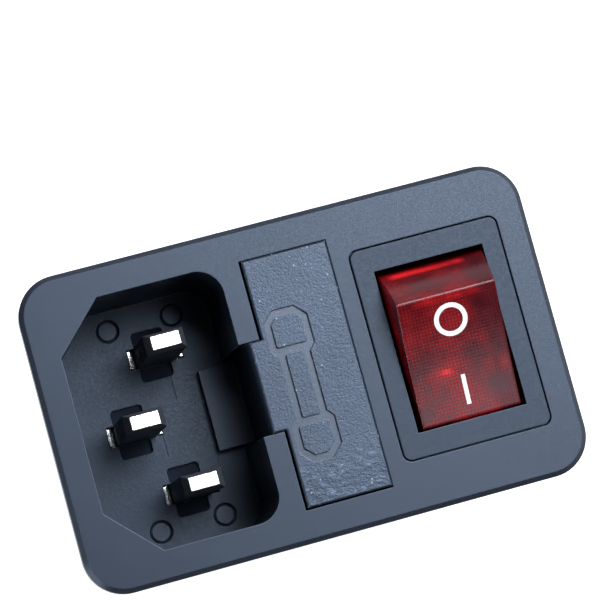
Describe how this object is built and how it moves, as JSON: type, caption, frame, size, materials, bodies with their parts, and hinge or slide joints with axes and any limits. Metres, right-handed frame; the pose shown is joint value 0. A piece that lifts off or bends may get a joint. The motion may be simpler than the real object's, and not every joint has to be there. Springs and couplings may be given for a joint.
{
  "type": "fused mains inlet with rocker switch",
  "caption": "Snap-in panel unit with a three-pin mains inlet, a fuse drawer and a lit rocker switch in one black flange.",
  "frame": {"origin": "middle of the flange's back face, the plane that seats on the panel", "axes": "+Z out of the panel towards the plug, +X from the inlet to the switch, +Y to the O end of the rocker"},
  "size_m": [0.05, 0.031, 0.0346],
  "materials": {
    "housing_plastic": "fine satin, moulded, black",
    "drawer_plastic": "spark eroded, black",
    "switch_plastic": "satin, moulded, black",
    "cap_plastic": "translucent red, glossy",
    "plated_brass": "nickel plated",
    "brass": "bare",
    "spring_steel": "drawn wire",
    "fuse_glass": "clear",
    "lamp_glass": "clear",
    "resistor_coat": "lacquered"
  },
  "bodies": {
    "panel_unit": {"housing": "housing_plastic", "rear_cover": "housing_plastic", "line_pin": "plated_brass", "neutral_pin": "plated_brass", "earth_pin": "plated_brass", "fuse_contact_in": "plated_brass", "fuse_contact_out": "plated_brass", "switch_body": "switch_plastic", "common_terminal_1": "plated_brass", "common_terminal_2": "plated_brass", "load_terminal_1": "plated_brass", "load_terminal_2": "plated_brass"},
    "drawer": {"fuse_drawer": "drawer_plastic", "active_fuse_tube": "fuse_glass", "active_fuse_caps": "plated_brass", "active_fuse_wire": "plated_brass", "spare_fuse_tube": "fuse_glass", "spare_fuse_caps": "plated_brass", "spare_fuse_wire": "plated_brass"},
    "rocker_cap": {"rocker": "cap_plastic", "neon_lamp": "lamp_glass", "lamp_resistor": "resistor_coat", "lamp_lead": "plated_brass", "plunger_spring_1": "spring_steel", "plunger_spring_2": "spring_steel"},
    "plunger_1": {"plunger_1": "brass"},
    "plunger_2": {"plunger_2": "brass"},
    "bridge_1": {"contact_bridge_1": "brass"},
    "bridge_2": {"contact_bridge_2": "brass"}
  },
  "joints": [
    {"name": "drawer_slide", "type": "slide", "parent": "panel_unit", "child": "drawer", "axis": [0, 0, 1], "range_m": [0, 0.0185]},
    {"name": "rocker_tilt", "type": "hinge", "parent": "panel_unit", "child": "rocker_cap", "pos_m": [0.01452, 0, -0.0019], "axis": [-1, 0, 0], "range_deg": [0, 33.6]},
    {"name": "bridge_1_tilt", "type": "hinge", "parent": "panel_unit", "child": "bridge_1", "pos_m": [0.01452, 0, -0.0096], "axis": [1, 0, 0], "range_deg": [0, 20]},
    {"name": "plunger_1_slide", "type": "slide", "parent": "rocker_cap", "child": "plunger_1", "axis": [0, -0.289, 0.9573], "range_m": [0, 0.0006], "stiffness_N_per_m": 300, "deforming": ["plunger_spring_1"]},
    {"name": "bridge_2_tilt", "type": "hinge", "parent": "panel_unit", "child": "bridge_2", "pos_m": [0.01452, 0, -0.0096], "axis": [1, 0, 0], "range_deg": [0, 20]},
    {"name": "plunger_2_slide", "type": "slide", "parent": "rocker_cap", "child": "plunger_2", "axis": [0, -0.289, 0.9573], "range_m": [0, 0.0006], "stiffness_N_per_m": 300, "deforming": ["plunger_spring_2"]}
  ],
  "couplings": [
    {"joint": "bridge_1_tilt", "follows": "rocker_tilt", "ratio": 0.59524},
    {"joint": "bridge_2_tilt", "follows": "rocker_tilt", "ratio": 0.59524}
  ]
}
